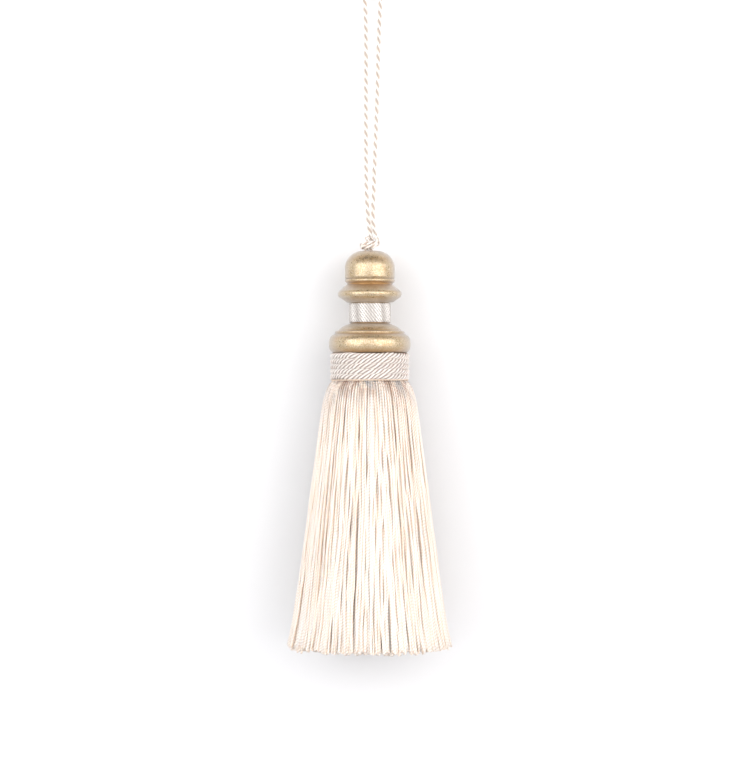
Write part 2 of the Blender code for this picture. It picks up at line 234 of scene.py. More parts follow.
class NeckSettings(bpy.types.PropertyGroup):
    """What a user would change on the satin threads of the neck."""
    threads: bpy.props.IntProperty(
        name="Threads", description="Threads laid round the neck", default=76, min=12)
    slant: bpy.props.FloatProperty(
        name="Slant", description="How far a thread leans on its way down", default=math.radians(7.0),
        subtype="ANGLE", unit="ROTATION")
    colour: bpy.props.FloatVectorProperty(
        name="Satin colour", description="White of the satin thread",
        default=(0.95, 0.915, 0.88), size=3, min=0.0, max=1.0, subtype="COLOR")


class CollarSettings(bpy.types.PropertyGroup):
    """What a user would change on the collar of wound cord."""
    rows: bpy.props.IntProperty(
        name="Rows", description="Turns of cord, one under the other", default=5, min=1)
    crests: bpy.props.IntProperty(
        name="Crests", description="Ply crests in one turn, a multiple of four", default=48, min=8)
    colour: bpy.props.FloatVectorProperty(
        name="Collar colour", description="Pale pink and ivory of the wound cord",
        default=(0.90, 0.855, 0.82), size=3, min=0.0, max=1.0, subtype="COLOR")


class SkirtSettings(bpy.types.PropertyGroup):
    """What a user would change on the skirt of threads."""
    thickness: bpy.props.FloatProperty(
        name="Thread thickness", description="Across a thread's two plies", default=0.98 * MM,
        unit="LENGTH")
    half_turn: bpy.props.FloatProperty(
        name="Half turn", description="Along a thread, from one ply's crest to the next",
        default=1.2 * MM, unit="LENGTH")
    locks: bpy.props.IntProperty(
        name="Locks", description="How many locks the threads gather into", default=44, min=6)
    ragged: bpy.props.FloatProperty(
        name="Ragged hem", description="How unevenly the threads are cut", default=0.5 * MM,
        unit="LENGTH")
    colour: bpy.props.FloatVectorProperty(
        name="Thread colour", description="Ivory of the skirt's threads",
        default=(0.865, 0.85, 0.832), size=3, min=0.0, max=1.0, subtype="COLOR")
    seed: bpy.props.IntProperty(
        name="Seed", description="Draws another fall of the same threads", default=11, min=0)


class StageSettings(bpy.types.PropertyGroup):
    """What a user would change on the wall, the floor and the light."""
    wall_gap: bpy.props.FloatProperty(
        name="Wall", description="How far the wall is behind the tassel's axis at the hem",
        default=0.0345, unit="LENGTH")
    floor_drop: bpy.props.FloatProperty(
        name="Floor", description="How far the floor is below the hem", default=0.12, unit="LENGTH")
    brightness: bpy.props.FloatProperty(
        name="Brightness", description="Power of a square metre of soft light, in watts", default=4.55,
        min=0.0)


# ---- helpers for materials


class Nodes:
    """The nodes of a new material or of the room, and short calls that add to them."""

    def __init__(self, owner):
        self.owner = owner
        owner.use_nodes = True
        self.tree = owner.node_tree

    def add(self, kind, inputs=(), **settings):
        """A node of a kind with its settings; an input takes a value or another node's output."""
        node = self.tree.nodes.new(kind)
        for key, value in settings.items():
            setattr(node, key, value)
        for key, value in dict(inputs).items():
            self.put(node, key, value)
        return node

    def finish(self, shader, inputs):
        """Fill the sockets of the owner's own shader, and give the owner back."""
        for key, value in inputs.items():
            self.put(self.tree.nodes[shader], key, value)
        return self.owner

    def put(self, node, key, value):
        if isinstance(value, bpy.types.NodeSocket):
            self.tree.links.new(value, node.inputs[key])
        else:
            node.inputs[key].default_value = value

    def sum(self, operation, *terms):
        return self.add("ShaderNodeMath", dict(enumerate(terms)), operation=operation).outputs[0]

    def times(self, *terms):
        return self.sum("MULTIPLY", *terms)

    def vector(self, operation, *terms):
        node = self.add("ShaderNodeVectorMath", dict(enumerate(terms)), operation=operation)
        return node.outputs["Vector"]

    def range(self, value, low, high, to_low, to_high):
        node = self.add("ShaderNodeMapRange", {
            "Value": value, "From Min": low, "From Max": high, "To Min": to_low, "To Max": to_high})
        return node.outputs["Result"]

    def noise(self, vector, scale, detail=2.0, roughness=0.5):
        node = self.add("ShaderNodeTexNoise", {
            "Vector": vector, "Scale": scale, "Detail": detail, "Roughness": roughness})
        return node.outputs["Fac"]

    def mix(self, share, first, second, blend="MIX"):
        node = self.add("ShaderNodeMix", data_type="RGBA", blend_type=blend)
        self.put(node, 0, share)
        for key, colour in ((6, first), (7, second)):
            self.put(node, key, colour if isinstance(colour, bpy.types.NodeSocket) else (*colour, 1.0))
        return node.outputs[2]

    def bump(self, height, distance, strength=1.0, normal=None):
        node = self.add("ShaderNodeBump", {
            "Height": height, "Distance": distance, "Strength": strength})
        if normal is not None:
            self.put(node, "Normal", normal)
        return node.outputs["Normal"]


FILAMENTS = 9.0  # round a ply
FILAMENT_CLIMB = 5.0  # how many of them pass by in one half turn of the plies
FILAMENT_DEPTH = 0.06 * MM
PLY_DEPTH = 0.16 * MM
YARN_SHEEN = 0.15
GLOW_REACH = 1.7 * MM  # how far light goes into a thread
GLOW_SHARES = (1.0, 0.7, 0.5)  # of it, for red, green and blue


def yarn_material(name, colour, deep, roughness, grooved=0.0, opening=0.55, specular=0.5,
                  tint_range=0.6, glow=0.0, sides=0.0, heading=None):
    """Spun thread: filaments wound round each ply, a tint for each thread and painted shade in grooves.

    The attribute "plies" is 1 on threads whose mesh has two plies and 2 on round threads, which have
    them drawn. Shade is painted into a cord's grooves where a ply's outward share falls under opening.
    sides paints shade on the sides of threads that hang round the Z axis, and heading is two colours
    of painted shade that show in patches between their upper ends.
    """
    nodes = Nodes(bpy.data.materials.new(name))
    lay = nodes.add("ShaderNodeUVMap", uv_map="lay").outputs["UV"]
    axes = nodes.add("ShaderNodeSeparateXYZ", {"Vector": lay}).outputs
    round_it, along = axes["X"], axes["Y"]
    tint = nodes.add("ShaderNodeAttribute", attribute_name="tint").outputs["Fac"]
    plies = nodes.add("ShaderNodeAttribute", attribute_name="plies").outputs["Fac"]
    spun = nodes.sum("MINIMUM", plies, 1.0)
    drawn = nodes.sum("SUBTRACT", plies, spun)

    # Filaments lie at a slant round the ply
    turns = nodes.times(round_it, FILAMENTS)
    climb = nodes.times(along, FILAMENT_CLIMB)
    filament = nodes.sum("SINE", nodes.times(nodes.sum("SUBTRACT", turns, climb), math.tau))
    fleck = nodes.noise(nodes.vector("MULTIPLY", lay, (40.0, 1.3, 1.0)), 1.0, 3.0)
    height = nodes.sum("ADD", nodes.times(filament, 0.2), nodes.times(fleck, 0.8))
    normal = nodes.bump(height, FILAMENT_DEPTH, 0.5)

    # Two plies wind round each other, and the grooves between them get painted shade, a deeper colour
    around = nodes.times(round_it, math.tau)
    wound = nodes.times(nodes.times(along, math.pi), drawn)
    phase = nodes.sum("SUBTRACT", around, wound)
    lobe = nodes.sum("ABSOLUTE", nodes.sum("COSINE", phase))
    crest = nodes.times(nodes.sum("POWER", lobe, 0.6), drawn)
    normal = nodes.bump(crest, PLY_DEPTH, 0.8, normal)
    between = nodes.times(nodes.range(lobe, 0.1, 0.82, 0.95, 0.0), spun)
    outward = nodes.sum("COSINE", around)
    groove = nodes.sum("MAXIMUM", nodes.range(outward, opening, opening - 0.8, 0.0, grooved), between)

    painted = nodes.mix(nodes.times(tint, tint_range), colour, deep)
    painted = nodes.mix(nodes.range(fleck, 0.35, 0.7, 0.0, 0.25), painted, deep)
    # Painted shade: the grooves go towards a darker copy of the deep colour
    painted = nodes.mix(groove, painted, tuple(0.8 * part for part in deep))
    # Painted shade on the threads' sides, where they turn away from the Z axis towards their neighbours
    if sides:
        facing = outward_share(nodes)
        darker = tuple(min(1.0, part / whole) for part, whole in zip(deep, colour))
        painted = nodes.mix(nodes.range(facing, 0.97, 0.58, 0.0, sides), painted, darker, "MULTIPLY")
        if heading:
            painted = paint_heading_shade(nodes, painted, facing, along, heading)
    nodes.tree.nodes["Principled BSDF"].subsurface_method = "BURLEY"
    return nodes.finish("Principled BSDF", {
        "Base Color": painted, "Normal": normal,
        "Roughness": nodes.range(fleck, 0.3, 0.7, roughness - 0.06, roughness + 0.08),
        "Specular IOR Level": specular, "Sheen Weight": YARN_SHEEN, "Sheen Roughness": 0.4,
        "Subsurface Weight": glow, "Subsurface Scale": GLOW_REACH,
        "Subsurface Radius": GLOW_SHARES})


def outward_share(nodes):
    """1 where a surface looks straight away from the Z axis, and 0 where it looks sideways."""
    spots = nodes.add("ShaderNodeTexCoord").outputs
    away = nodes.vector("NORMALIZE", nodes.vector("MULTIPLY", spots["Object"], (1.0, 1.0, 0.0)))
    return nodes.add("ShaderNodeVectorMath", {0: away, 1: spots["Normal"]},
                     operation="DOT_PRODUCT").outputs["Value"]


def paint_heading_shade(nodes, painted, facing, along, colours):
    """Painted shade: patches of two colours between the threads' upper ends, fading on the way down."""
    place = nodes.add("ShaderNodeTexCoord").outputs["Object"]
    tall = nodes.vector("MULTIPLY", place, (1.0, 1.0, 0.3))
    patch = nodes.range(nodes.noise(tall, HEADING_PATCHES, 1.0), 0.45, 0.56, 0.3, 1.0)
    upper = nodes.range(along, 0.5, 15.0, 1.0, 0.0)
    gap = nodes.range(facing, 0.99, 0.6, 0.5, 1.0)
    share = nodes.times(nodes.times(patch, gap), nodes.sum("POWER", upper, 1.6))
    either = nodes.range(nodes.noise(tall, HEADING_TONES, 1.0), 0.46, 0.54, 0.0, 1.0)
    under = nodes.mix(either, *colours)
    return nodes.mix(share, painted, under)


GRAIN, LUMPS, MOTTLE, STROKES = 2300.0, 1000.0, 420.0, 1500.0  # the paint's patterns, per metre
STROKE_RADIUS = 4.0 * MM  # strokes round the head are as long as on so thin a rod, spread out
GILDING_DEPTH = 0.032 * MM
PALE_SHARES = (1.06, 1.13, 1.5)  # the palest gold against the gilding, in red, green and blue
WORN_SHARE = 0.68


def gilded_material(settings):
    """Satin gold paint on turned wood, with random brown mottle, brown painted shade and dark
    reflection on its slopes and in the quirks, and a pale painted sheen where it turns away.

    The head's vertex attribute is 1 in the hollows between the mouldings, where shade is painted.
    """
    nodes = Nodes(bpy.data.materials.new("gilded_wood_paint"))
    spots = nodes.add("ShaderNodeTexCoord").outputs
    place = spots["Object"]
    axes = nodes.add("ShaderNodeSeparateXYZ", {"Vector": place}).outputs
    angle = nodes.sum("ARCTAN2", axes["Y"], axes["X"])
    around_head = nodes.add("ShaderNodeCombineXYZ", {
        "X": nodes.times(angle, STROKE_RADIUS), "Y": 0.0, "Z": axes["Z"]}).outputs[0]

    grain = nodes.noise(place, GRAIN, 2.0, 0.6)
    lumps = nodes.noise(place, LUMPS)
    mottle = nodes.noise(place, MOTTLE, 3.0)
    strokes = nodes.noise(around_head, STROKES)
    gold, tone_and_painted_shade = tuple(settings.gilding), tuple(settings.tone_and_painted_shade)
    pale = tuple(min(1.0, part * share) for part, share in zip(gold, PALE_SHARES))
    worn = tuple(WORN_SHARE * part for part in gold)
    painted = nodes.mix(nodes.range(grain, 0.38, 0.62, 0.0, 1.0), worn, pale)
    painted = nodes.mix(nodes.range(mottle, 0.5, 0.75, 0.0, 0.45), painted, tone_and_painted_shade)
    painted = nodes.mix(nodes.range(strokes, 0.54, 0.75, 0.0, 0.3), painted, tone_and_painted_shade)
    # Painted shade and dark reflection: upward-facing slopes and the hollows are mixed towards brown
    upward = nodes.add("ShaderNodeSeparateXYZ", {"Vector": spots["Normal"]}).outputs["Z"]
    slope_shade = nodes.times(nodes.range(upward, 0.25, 0.5, 0.0, 0.32),
                        nodes.range(upward, 0.6, 0.85, 1.0, 0.2))
    quirk_shade = nodes.add("ShaderNodeAttribute", attribute_name="quirk_shade").outputs["Fac"]
    painted = nodes.mix(nodes.sum("MAXIMUM", slope_shade, quirk_shade), painted, tone_and_painted_shade)
    # Painted sheen: a pale colour mixed in where the surface turns away, where the paint is also
    # rougher
    glancing = nodes.add("ShaderNodeLayerWeight", {"Blend": 0.5}).outputs["Facing"]
    painted_sheen_share = nodes.range(glancing, 0.35, 0.82, 0.0, 0.85)
    painted = nodes.mix(painted_sheen_share, painted, PAINTED_SHEEN)
    dull = nodes.range(lumps, 0.38, 0.62, settings.roughness + 0.13, settings.roughness - 0.09)
    rougher = nodes.times(nodes.sum("MAXIMUM", painted_sheen_share, quirk_shade), 0.22)
    height = nodes.sum("ADD", nodes.times(grain, 0.45), nodes.times(lumps, 0.55))
    return nodes.finish("Principled BSDF", {
        "Base Color": painted, "Roughness": nodes.sum("ADD", dull, rougher),
        "Normal": nodes.bump(height, GILDING_DEPTH), "Metallic": 0.8,
        "Coat Weight": 0.5, "Coat Roughness": 0.3, "Coat IOR": 1.6})


# ---- helpers for thread and cord


def smooth_route(points_mm, spacing):
    """Points about a spacing apart on a smooth curve through the route's own points, in metres."""
    points = [Vector(p) * MM for p in points_mm]
    around_each = zip(points[:1] + points[:-1], points[1:] + points[-1:])
    headings = [(after - before).normalized() for before, after in around_each]
    dense = points[:1]
    for i in range(len(points) - 1):
        reach = (points[i + 1] - points[i]).length / 3
        dense += interpolate_bezier(points[i], points[i] + headings[i] * reach,
                                    points[i + 1] - headings[i + 1] * reach, points[i + 1], 24)[1:]
    dense = np.array(dense)
    lengths = np.concatenate(([0.0], np.cumsum(np.linalg.norm(np.diff(dense, axis=0), axis=1))))
    stops = np.linspace(0.0, lengths[-1], round(lengths[-1] / spacing) + 1)
    return np.stack([np.interp(stops, lengths, dense[:, k]) for k in range(3)], axis=1)


def ring_angles(count):
    return np.linspace(0.0, math.tau, count, endpoint=False)


def round_axis(radius, angle, z):
    """Points at a radius, an angle and a height round the head's axis."""
    return np.stack([radius * np.cos(angle), radius * np.sin(angle),
                     np.broadcast_to(z, angle.shape)], axis=-1)


def unit(vectors):
    return vectors / np.linalg.norm(vectors, axis=-1, keepdims=True)


def side_vectors(centres, closed=False):
    """Two directions across each centreline (thread, ring, xyz), carried along it without a twist."""
    if closed:
        heading = unit(np.roll(centres, -1, axis=1) - np.roll(centres, 1, axis=1))
    else:
        heading = unit(np.gradient(centres, axis=1))
    out = np.empty_like(centres)
    start = np.cross(heading[:, 0], (0.0, 1.0, 0.01))
    out[:, 0] = unit(start)
    for ring in range(1, centres.shape[1]):
        carried = out[:, ring - 1]
        carried = carried - heading[:, ring] * np.sum(carried * heading[:, ring], axis=1, keepdims=True)
        out[:, ring] = unit(carried)
    return out, np.cross(heading, out)


def mark(mesh, name, values):
    """Give each vertex a number that a material reads."""
    layer = mesh.attributes.new(name, "FLOAT", "POINT")
    layer.data.foreach_set("value", values.astype(np.float32))


def tube_mesh(name, centres, outline, widths, tints, twist=0.0, along=None, closed=False,
              across=None, plies=0):
    """One mesh of tubes along centres (thread, ring, xyz), with the UV map "lay" and the tint.

    outline holds the section's angles and its radii as shares of widths (thread, ring). twist turns
    the section (thread, ring), and along is the UV map's second axis. tints is one for each thread.
    plies is 1 on threads of two plies, and 2 where they are only drawn.
    """
    threads, rings = centres.shape[:2]
    angles, shares = outline
    sides = len(angles)
    first, second = side_vectors(centres, closed) if across is None else across
    turned = angles + np.broadcast_to(twist, (threads, rings))[..., None]
    reach = shares[None, None, :] * widths[:, :, None]
    verts = (centres[:, :, None, :]
             + first[:, :, None, :] * (np.cos(turned) * reach)[..., None]
             + second[:, :, None, :] * (np.sin(turned) * reach)[..., None]).reshape(-1, 3)

    bands = rings if closed else rings - 1
    thread, ring, side = np.indices((threads, bands, sides))
    next_ring = (ring + 1) % rings
    next_side = (side + 1) % sides

    def index(ring_number, side_number):
        return (thread * rings + ring_number) * sides + side_number

    quads = np.stack([index(ring, side), index(ring, next_side),
                      index(next_ring, next_side), index(next_ring, side)], axis=-1).reshape(-1, 4)
    if along is None:
        steps = np.linalg.norm(np.diff(centres, axis=1), axis=2)
        along = np.concatenate([np.zeros((threads, 1)), np.cumsum(steps, axis=1)], axis=1) / MM
    if closed:
        along = np.concatenate([along, 2 * along[:, -1:] - along[:, -2:-1]], axis=1)
    here, after = along[thread, ring], along[thread, ring + 1]
    u = np.stack([side, side + 1, side + 1, side], axis=-1).reshape(-1) / sides
    v = np.stack([here, here, after, after], axis=-1).reshape(-1)

    mesh = bpy.data.meshes.new(name)
    caps = [] if closed else [
        [(t * rings + ring_number) * sides + k for k in order]
        for t in range(threads)
        for ring_number, order in ((0, range(sides - 1, -1, -1)), (rings - 1, range(sides)))]
    loops = np.concatenate([quads.reshape(-1), np.array(caps, dtype=int).reshape(-1)])
    starts = np.concatenate([np.arange(len(quads)) * 4, len(quads) * 4 + np.arange(len(caps)) * sides])
    mesh.vertices.add(len(verts))
    mesh.vertices.foreach_set("co", verts.reshape(-1))
    mesh.loops.add(len(loops))
    mesh.loops.foreach_set("vertex_index", loops.astype(np.int32))
    mesh.polygons.add(len(starts))
    mesh.polygons.foreach_set("loop_start", starts.astype(np.int32))
    mesh.update(calc_edges=True)
    lay = mesh.uv_layers.new(name="lay")
    cap_uv = np.tile([0.5, 0.0], (len(loops) - len(u), 1))
    lay.data.foreach_set("uv", np.concatenate([np.stack([u, v], axis=1), cap_uv]).reshape(-1))
    mark(mesh, "tint", np.repeat(tints, rings * sides))
    mark(mesh, "plies", np.full(len(verts), plies))
    mesh.shade_smooth()
    mesh.validate()
    piece = bpy.data.objects.new(name, mesh)
    bpy.context.collection.objects.link(piece)
    return piece


def round_outline(sides):
    return ring_angles(sides), np.ones(sides)


def two_ply_outline(sides, ply):
    """A section of two round plies side by side, as shares of the thread's radius."""
    angles = ring_angles(sides)
    offset = 1.0 - ply
    shares = offset * np.abs(np.cos(angles)) + np.sqrt(ply ** 2 - (offset * np.sin(angles)) ** 2)
    return angles, shares


def laid_cord(name, route, thickness, crest_gap, sides, closed=False, hand=-1.0, phase=0.0, plies=2,
              ply=0.265, tint=0.0, uneven=0.0):
    """A cord of round plies laid about each other along a route (ring, xyz).

    crest_gap is the way along the cord from one ply's crest to the next, hand is 1 or -1 for the way
    that the plies wind, and ply is a ply's radius as a share of the cord's thickness. uneven is how
    far, in radians, the lay runs ahead and behind.
    """
    centres = route[None]
    first, second = side_vectors(centres, closed)
    steps = np.linalg.norm(np.diff(route, axis=0, append=route[:1] if closed else route[-1:]), axis=1)
    run = np.concatenate(([0.0], np.cumsum(steps)[:-1]))
    whole = np.sum(steps)
    turns = whole / crest_gap / plies
    if closed:
        turns = round(turns)
    angle = hand * math.tau * turns * run / whole + phase
    if closed:  # the carried directions come back turned, and the lay takes that up
        gap = math.atan2(np.dot(first[0, -1], second[0, 0]), np.dot(first[0, -1], first[0, 0]))
        angle = angle - gap * run / whole
    for waves, share in ((7, 0.5), (12, 0.3), (19, 0.2)):
        angle = angle + uneven * share * np.sin(waves * math.tau * run / whole + waves + 2.0 * phase)
    ply_radius = thickness * ply
    offset = thickness * 0.5 - ply_radius
    angles = np.stack([angle + math.tau * k / plies for k in range(plies)])
    shift = (first * np.cos(angles)[..., None] + second * np.sin(angles)[..., None]) * offset
    widths = np.full(angles.shape, ply_radius)
    along = np.tile(run / crest_gap, (plies, 1))
    across = (np.tile(first, (plies, 1, 1)), np.tile(second, (plies, 1, 1)))
    tints = tint + 0.25 * (np.arange(plies) % 2)
    return tube_mesh(name, route + shift, round_outline(sides), widths, tints, twist=angles,
                     along=along, closed=closed, across=across)


def join(name, pieces):
    """Join pieces into the first one and give it a name."""
    bpy.ops.object.select_all(action="DESELECT")
    for piece in pieces:
        piece.select_set(True)
    bpy.context.view_layer.objects.active = pieces[0]
    bpy.ops.object.join()
    pieces[0].name = pieces[0].data.name = name
    return pieces[0]


def dress(piece, material, slot, *nodes):
    """Give a finished piece its one material and body, and hide the nodes it stands for; slot is not
    used.
    """
    piece.data.materials.clear()
    piece.data.materials.append(material)
    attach(piece, BODY)
    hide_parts(*nodes)


# ---- stage


class TASSEL_OT_stage(bpy.types.Operator):
    """Set the camera, the pale wall and floor and the soft light"""
    bl_idname = "tassel.stage"
    bl_label = "Stage"

    def execute(self, context):
        settings = context.scene.tassel_stage
        add_camera()
        # The wall is close behind, takes the soft shadows and leans towards the tassel's top
        behind = settings.wall_gap - (VIEW_CENTRE.z - SKIRT_LOW.z) * math.tan(WALL_LEAN)
        wall = add_plane("wall", WALL_SIZE, (0.0, behind, VIEW_CENTRE.z),
                         math.radians(90.0) + WALL_LEAN, pale_paint("wall_paint", WALL_PAINT, True))
        floor = add_plane("floor", FLOOR_SIZE, (0.0, 0.0, SKIRT_LOW.z - settings.floor_drop), 0.0,
                          pale_paint("floor_paint", FLOOR_PAINT, False))
        for light in SOFT_LIGHTS:
            add_soft_light(settings.brightness, *light)
        light_room()
        context.scene.view_settings.view_transform = "Standard"
        return {"FINISHED"}


def add_camera():
    bpy.ops.object.camera_add(location=VIEW_CENTRE - Vector((0.0, CAMERA_DISTANCE, 0.0)),
                              rotation=(math.radians(90.0), 0.0, 0.0))
    camera = bpy.context.object
    camera.name = "camera"
    camera.data.sensor_width = SENSOR
    camera.data.lens = SENSOR * CAMERA_DISTANCE / FRAME_HEIGHT
    camera.data.clip_start = 0.05
    bpy.context.scene.camera = camera


def pale_paint(name, colour, one_sided):
    """Matt pale paint; a one-sided wall is only there for what lies in front of it."""
    nodes = Nodes(bpy.data.materials.new(name))
    if one_sided:
        paint = nodes.tree.nodes["Principled BSDF"].outputs["BSDF"]
        clear = nodes.add("ShaderNodeBsdfTransparent").outputs["BSDF"]
        behind = nodes.add("ShaderNodeNewGeometry").outputs["Backfacing"]
        either = nodes.add("ShaderNodeMixShader", {0: behind, 1: paint, 2: clear})
        nodes.finish("Material Output", {"Surface": either.outputs["Shader"]})
    return nodes.finish("Principled BSDF", {
        "Base Color": (*colour, 1.0), "Roughness": 0.9, "Specular IOR Level": 0.1})


def add_plane(name, size, place, tip, paint):
    bpy.ops.object.select_all(action="DESELECT")
    bpy.ops.mesh.primitive_plane_add(size=size, location=place, rotation=(tip, 0.0, 0.0))
    plane = bpy.context.object
    plane.name = name
    plane.data.materials.append(paint)
    return plane


def add_soft_light(brightness, degrees, width, share, colour):
    turn = math.radians(degrees)
    place = Vector((math.sin(turn), -math.cos(turn), -LIGHT_DROP)) * LIGHT_DISTANCE
    place.z += VIEW_CENTRE.z
    data = bpy.data.lights.new("soft_light", "AREA")
    data.shape = "RECTANGLE"
    data.size = width
    data.size_y = LIGHT_HEIGHT
    data.energy = brightness * share * width * LIGHT_HEIGHT
    data.color = colour
    light = bpy.data.objects.new("soft_light", data)
    light.location = place
    towards_tassel = Vector((0.0, 0.0, VIEW_CENTRE.z)) - place
    light.rotation_euler = towards_tassel.to_track_quat("-Z", "Y").to_euler()
    bpy.context.collection.objects.link(light)


def light_room():
    """A pale room, darker overhead and brighter in front of the tassel."""
    nodes = Nodes(bpy.data.worlds.new("room"))
    place = nodes.add("ShaderNodeTexCoord").outputs["Generated"]
    axes = nodes.add("ShaderNodeSeparateXYZ", {"Vector": place}).outputs
    ramp = nodes.add("ShaderNodeValToRGB", {"Fac": nodes.range(axes["Z"], -1.0, 1.0, 0.0, 1.0)})
    stops = ramp.color_ramp.elements
    while len(stops) < len(ROOM_BRIGHTNESS):
        stops.new(0.5)
    for stop, (up, bright) in zip(stops, ROOM_BRIGHTNESS):
        stop.position = 0.5 + 0.5 * up
        stop.color = (bright, bright, bright * 1.01, 1.0)
    front = nodes.add("ShaderNodeMapRange", {
        "Value": axes["Y"], "From Min": -0.2, "From Max": -1.0, "To Min": 1.0,
        "To Max": 1.0 + FRONT_GLOW}, interpolation_type="SMOOTHSTEP")
    bpy.context.scene.world = nodes.finish("Background", {
        "Color": ramp.outputs["Color"], "Strength": front.outputs["Result"]})


# ---- loop and knot


class TASSEL_OT_loop(bpy.types.Operator):
    """Lay the hanging loop of two-ply cord and tie its knot above the head"""
    bl_idname = "tassel.loop"
    bl_label = "Hanging loop and knot"

    def execute(self, context):
        settings = context.scene.tassel_loop
        # Painted shade in the grooves, where each ply turns in towards the other
        material = yarn_material("loop_thread_yarn", tuple(settings.colour), LOOP_GROOVES, 0.5,
                                 grooved=0.85, glow=0.15)
        route = smooth_route(LOOP_ROUTE_MM, settings.half_turn / 8)
        loop = laid_cord("loop_cord", route, settings.thickness, settings.half_turn,
                         CORD_SIDES)
        dress(loop, material, "loop_thread", "hanging_loop")

        knot = make_knot(settings)
        dress(knot, material, "loop_thread", "knot")
        path = smooth_route(LOOP_ROUTE_MM, settings.half_turn)
        return {"FINISHED"}


def make_knot(settings):
    """The cord's turns above the head, the small eye and the ends that go into the bore."""
    top = HEAD_TOP / MM
    strands = [(KNOT_ROUTE_MM, KNOT_SHARE, 0.4), (KNOT_INNER_MM, KNOT_SHARE, 1.1)]
    strands += [(tail, TAIL_SHARE, 2.0) for tail in TAILS_MM]
    pieces = []
    for route_mm, share, phase in strands:
        route = smooth_route([(x, y, top + h) for x, y, h in route_mm], settings.half_turn / 10)
        pieces.append(laid_cord("strand", route, settings.thickness * share,
                                settings.half_turn * KNOT_TIGHTER, CORD_SIDES, phase=phase))
    angle = ring_angles(24)
    x, y, h = KNOT_EYE_MM
    eye = np.stack([x + EYE_RADIUS_MM * np.cos(angle), y - 0.15 * np.sin(angle),
                    top + h + EYE_RADIUS_MM * 1.1 * np.sin(angle)], axis=1) * MM
    pieces.append(laid_cord("eye", eye, EYE_THICKNESS, EYE_HALF_TURN, THIN_SIDES, closed=True))
    return join("knot_cord", pieces)


# ---- head


class TASSEL_OT_head(bpy.types.Operator):
    """Turn the gilded wooden head"""
    bl_idname = "tassel.head"
    bl_label = "Turned head"

    def execute(self, context):
        settings = context.scene.tassel_head
        dress(turn_head(settings), gilded_material(settings), "gilded_wood", "head_turning")
        return {"FINISHED"}


def arc(name, squareness=2.0):
    """Points (radius, drop) in mm on an arc of the outline; squareness above 2 fills its corners."""
    centre_radius, centre_drop, radius, start_deg, end_deg, steps = ARCS[name]
    points = []
    for i in range(steps + 1):
        angle = math.radians(start_deg + (end_deg - start_deg) * i / steps)
        out, up = math.cos(angle), math.sin(angle)
        reach = radius * (abs(out) ** squareness + abs(up) ** squareness) ** (-1 / squareness)
        points.append((centre_radius + reach * out, centre_drop - reach * up))
    return points


def head_section():
    """The head's outline (radius, drop below its top) in mm, from the bore's floor to the underside."""
    return [
        (0.0, BORE_DEPTH_MM), (BORE_MM, BORE_DEPTH_MM), (BORE_MM, BORE_CHAMFER_MM),
        (BORE_MM + BORE_CHAMFER_MM, 0.0), *arc("dome", DOME_SQUARENESS), *DOME_FOOT_MM,
        *arc("bead"), *GROOVE_MM, *arc("flange rim"), *FLANGE_FOOT_MM, *NECK_FOOT_MM,
        *arc("shoulder"), *arc("fillet"), *arc("ring", RING_SQUARENESS), *RING_FOOT_MM,
        (0.0, (HEAD_TOP - HEAD_LOW.z) / MM)]


def turn_head(settings):
    """Draw the outline as a chain of points from one vertex, and spin it round the axis."""
    section = [Vector((radius * MM, 0.0, HEAD_TOP - drop * MM)) for radius, drop in head_section()]
    bpy.ops.object.select_all(action="DESELECT")
    bpy.ops.mesh.primitive_plane_add(size=MM, location=section[0])
    head = bpy.context.object
    bpy.ops.object.transform_apply(location=True, rotation=True, scale=True)
    bpy.ops.object.mode_set(mode="EDIT")
    bpy.ops.mesh.select_all(action="SELECT")
    bpy.ops.mesh.merge(type="CENTER")
    for here, there in zip(section, section[1:]):
        bpy.ops.mesh.extrude_region_move(TRANSFORM_OT_translate={"value": there - here})
    bpy.ops.mesh.select_all(action="SELECT")
    bpy.ops.mesh.spin(steps=settings.steps, angle=math.tau, center=(0.0, 0.0, 0.0),
                      axis=(0.0, 0.0, 1.0))
    bpy.ops.mesh.select_all(action="SELECT")
    bpy.ops.mesh.remove_doubles(threshold=0.002 * MM)
    bpy.ops.mesh.normals_make_consistent(inside=False)
    bpy.ops.object.mode_set(mode="OBJECT")
    bevel = head.modifiers.new("quirks", "BEVEL")
    bevel.width = EDGE_ROUNDING
    bevel.segments = 2
    bevel.limit_method = "ANGLE"
    bevel.angle_limit = math.radians(28.0)
    bpy.ops.object.modifier_apply(modifier=bevel.name)
    bpy.ops.object.shade_smooth_by_angle(angle=math.radians(35.0))
    head.name = head.data.name = "turned_head"
    places = np.empty(len(head.data.vertices) * 3)
    head.data.vertices.foreach_get("co", places)
    drops = (HEAD_TOP - places[2::3]) / MM
    # Painted shade: each hollow between the mouldings gets a share, which the paint turns brown
    hollow_shades = [share * np.exp(-((drops - drop) / width) ** 2) for drop, width, share in QUIRKS_MM]
    mark(head.data, "quirk_shade", np.max(hollow_shades, axis=0))
    return head


# ---- neck


